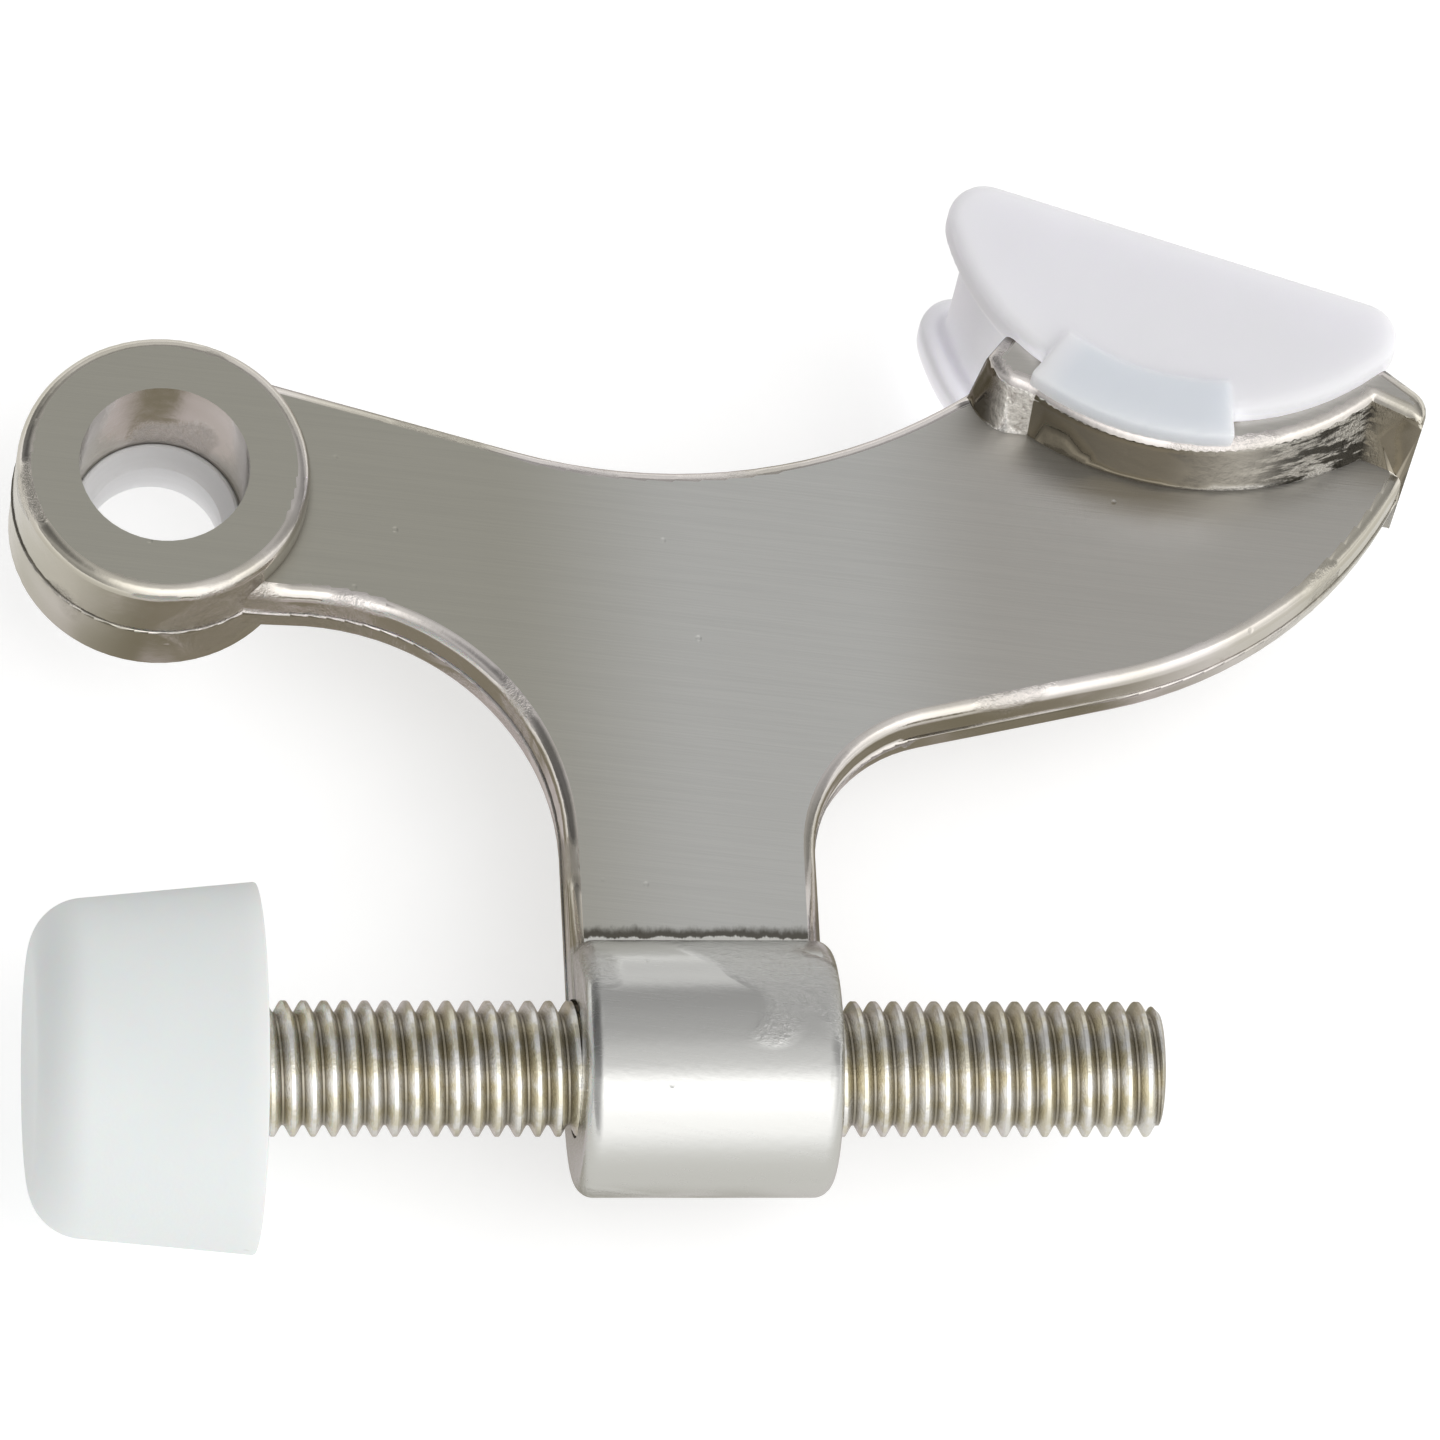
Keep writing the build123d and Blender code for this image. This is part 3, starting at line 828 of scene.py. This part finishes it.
# angle in degrees from straight up towards the front, brightness: bands of the room the metal sees
BANDS = [(-180, 0.75), (-58, 0.88), (-52, 0.38), (-34, 0.46), (-20, 0.57), (-2, 0.62), (10, 0.80), (24, 0.96),
         (32, 1.4), (39, 1.85), (54, 1.85), (64, 1.6), (78, 1.5), (100, 1.3), (130, 1.1), (180, 0.9)]
MATT_LIGHT_FROM = Vector((0.75, -0.35, 0.45)).normalized()
DIFFUSE_LOW, DIFFUSE_HIGH = 0.14, 0.92              # light on matt surfaces, away from there and towards it
KEY_PLACE, KEY_TARGET = Vector((0.42, -0.25, 0.70)), Vector((0.03, -0.01, 0))


def build_camera():
    """A long lens above the part's front, with the screw level in the picture."""
    camera_data = bpy.data.cameras.new("camera")
    camera_data.lens = LENS
    camera_data.sensor_width = 36.0
    camera_data.clip_end = 10.0
    camera = bpy.data.objects.new("camera", camera_data)
    bpy.context.scene.collection.objects.link(camera)
    right = Vector(LEVEL_RIGHT)
    right = (right - right.dot(TOWARD_CAMERA) * TOWARD_CAMERA).normalized()
    up = TOWARD_CAMERA.cross(right)
    place = AIM + Vector((0, 0, MID_Z)) + CAMERA_DISTANCE * TOWARD_CAMERA
    rows = [[right[i], up[i], TOWARD_CAMERA[i], place[i]] for i in range(3)]
    camera.matrix_world = Matrix(rows + [[0, 0, 0, 1]])
    bpy.context.scene.camera = camera


def chain(tree, kind, values, output=0, **settings):
    """A node with its first inputs fed by sockets or numbers; returns one of its outputs."""
    made = tree.nodes.new(kind)
    for key, value in settings.items():
        setattr(made, key, value)
    for socket, value in zip(made.inputs, values):
        if isinstance(value, bpy.types.NodeSocket):
            tree.links.new(value, socket)
        elif value is not None:
            socket.default_value = value
    return made.outputs[output]


def mixed_colour(tree, share, a, b):
    """A colour between a and b."""
    made = tree.nodes.new("ShaderNodeMix")
    made.data_type = "RGBA"
    for value, name in ((share, "Factor"), (a, "A"), (b, "B")):
        if isinstance(value, bpy.types.NodeSocket):
            tree.links.new(value, made.inputs[name])
        else:
            made.inputs[name].default_value = value
    return made.outputs["Result"]


def build_floor():
    """A pale floor, half lit from within so that shadows stay faint. The metal sees it darker close by."""
    low, _ = CAD_BOX
    side = 2.0
    z = low[2] - 0.02 * MM
    mesh = bpy.data.meshes.new("floor")
    corners = [(-side, -side, z), (side, -side, z), (side, side, z), (-side, side, z)]
    mesh.from_pydata(corners, [], [(0, 1, 2, 3)])
    floor = bpy.data.objects.new("floor", mesh)
    bpy.context.scene.collection.objects.link(floor)
    material = bpy.data.materials.new("pale_floor")
    material.use_nodes = True
    tree = material.node_tree
    surface = tree.nodes["Principled BSDF"]
    grain = chain(tree, "ShaderNodeTexNoise", [None, None, 900.0])
    surface.inputs["Roughness"].default_value = 0.9
    surface.inputs["Base Color"].default_value = rgb(0.60, 0.60, 0.60)
    surface.inputs["Emission Color"].default_value = rgb(1.0, 1.0, 1.0)
    glow = chain(tree, "ShaderNodeMapRange", [grain, 0.0, 1.0, FLOOR_GLOW - 0.01, FLOOR_GLOW + 0.01])
    tree.links.new(glow, surface.inputs["Emission Strength"])
    place = tree.nodes.new("ShaderNodeTexCoord").outputs["Object"]
    away = chain(tree, "ShaderNodeVectorMath", [place, FLOOR_MIDDLE], "Value", operation="DISTANCE")
    patches = chain(tree, "ShaderNodeTexNoise", [place, None, 130.0, 1.0])
    patches = chain(tree, "ShaderNodeMapRange", [patches, 0.44, 0.56, 0.0, 1.0],
                    interpolation_type="SMOOTHSTEP")
    near = mixed_colour(tree, patches, rgb(0.27, 0.245, 0.185), rgb(0.60, 0.555, 0.545))
    share = chain(tree, "ShaderNodeMapRange", [away, *FLOOR_NEAR, 0.0, 1.0], interpolation_type="SMOOTHSTEP")
    seen = mixed_colour(tree, share, near, rgb(0.84, 0.83, 0.79))
    share = chain(tree, "ShaderNodeMapRange", [away, *FLOOR_FAR, 0.0, 1.0])
    seen = mixed_colour(tree, share, seen, rgb(1.2, 1.2, 1.18))
    reflected = tree.nodes.new("ShaderNodeEmission")
    tree.links.new(seen, reflected.inputs["Color"])
    path = tree.nodes.new("ShaderNodeLightPath")
    mixed = tree.nodes.new("ShaderNodeMixShader")
    tree.links.new(path.outputs["Is Glossy Ray"], mixed.inputs[0])
    tree.links.new(surface.outputs[0], mixed.inputs[1])
    tree.links.new(reflected.outputs[0], mixed.inputs[2])
    tree.links.new(mixed.outputs[0], tree.nodes["Material Output"].inputs["Surface"])
    mesh.materials.append(material)


def build_world():
    """Light from the front right for matt surfaces, and a room with light and dark bands for reflections."""
    world = bpy.data.worlds.new("studio")
    bpy.context.scene.world = world
    world.use_nodes = True
    tree = world.node_tree
    background = tree.nodes["Background"]
    direction = tree.nodes.new("ShaderNodeTexCoord").outputs["Generated"]
    ray_x, ray_y, ray_z = (chain(tree, "ShaderNodeSeparateXYZ", [direction], axis) for axis in "XYZ")
    front = chain(tree, "ShaderNodeMath", [ray_y, -1.0], operation="MULTIPLY")
    angle = chain(tree, "ShaderNodeMath", [front, ray_z], operation="ARCTAN2")
    patches = chain(tree, "ShaderNodeTexNoise", [direction, None, 2.3, 1.5])
    wobble = chain(tree, "ShaderNodeMapRange", [patches, 0.3, 0.7, -0.01, 0.01])
    turn = chain(tree, "ShaderNodeMapRange", [angle, -math.pi, math.pi, 0.0, 1.0])
    turn = chain(tree, "ShaderNodeMath", [turn, wobble], operation="ADD")
    ramp = tree.nodes.new("ShaderNodeValToRGB")
    tree.links.new(turn, ramp.inputs["Fac"])
    brightest = max(level for _, level in BANDS)
    stops = ramp.color_ramp.elements
    for index, (degrees, level) in enumerate(BANDS):
        place = degrees / 360 + 0.5
        stop = stops[index] if index < 2 else stops.new(place)
        stop.position = place
        stop.color = rgb(*[level / brightest] * 3)
    left = chain(tree, "ShaderNodeMapRange", [ray_x, -0.65, -0.15, 0.30 * brightest, brightest],
                 interpolation_type="SMOOTHSTEP")
    right = chain(tree, "ShaderNodeMapRange", [ray_x, 0.55, 0.95, 1.0, 0.6])
    seen = chain(tree, "ShaderNodeMath", [ramp.outputs["Color"], left], operation="MULTIPLY")
    seen = chain(tree, "ShaderNodeMath", [seen, right], operation="MULTIPLY")
    uneven = chain(tree, "ShaderNodeMapRange", [patches, 0.35, 0.65, 0.88, 1.1])
    seen = chain(tree, "ShaderNodeMath", [seen, uneven], operation="MULTIPLY")
    toward = chain(tree, "ShaderNodeVectorMath", [direction, MATT_LIGHT_FROM], "Value",
                   operation="DOT_PRODUCT")
    matt = chain(tree, "ShaderNodeMapRange", [toward, -1.0, 0.6, DIFFUSE_LOW, DIFFUSE_HIGH])
    glossy = tree.nodes.new("ShaderNodeLightPath").outputs["Is Glossy Ray"]
    chosen = tree.nodes.new("ShaderNodeMix")
    chosen.data_type = "FLOAT"
    tree.links.new(glossy, chosen.inputs["Factor"])
    tree.links.new(matt, chosen.inputs["A"])
    tree.links.new(seen, chosen.inputs["B"])
    tree.links.new(chosen.outputs["Result"], background.inputs["Strength"])
    background.inputs["Color"].default_value = rgb(1.0, 0.995, 0.985)


def build_key_light():
    """One large soft lamp from the front right, for gentle shading on the white parts."""
    lamp = bpy.data.lights.new("key", "AREA")
    lamp.shape = "SQUARE"
    lamp.size = 0.7
    lamp.energy = 2.2
    key = bpy.data.objects.new("key", lamp)
    bpy.context.scene.collection.objects.link(key)
    key.location = KEY_PLACE
    key.rotation_euler = (KEY_TARGET - KEY_PLACE).to_track_quat("-Z", "Y").to_euler()
    key.visible_glossy = False


# ---------------------------------------------------------------- everything together
bpy.context.scene.view_settings.view_transform = "Standard"
build_camera()
build_floor()
build_world()
build_key_light()
build_casting()
build_bushing()
build_pad()
build_screw()
build_tip()
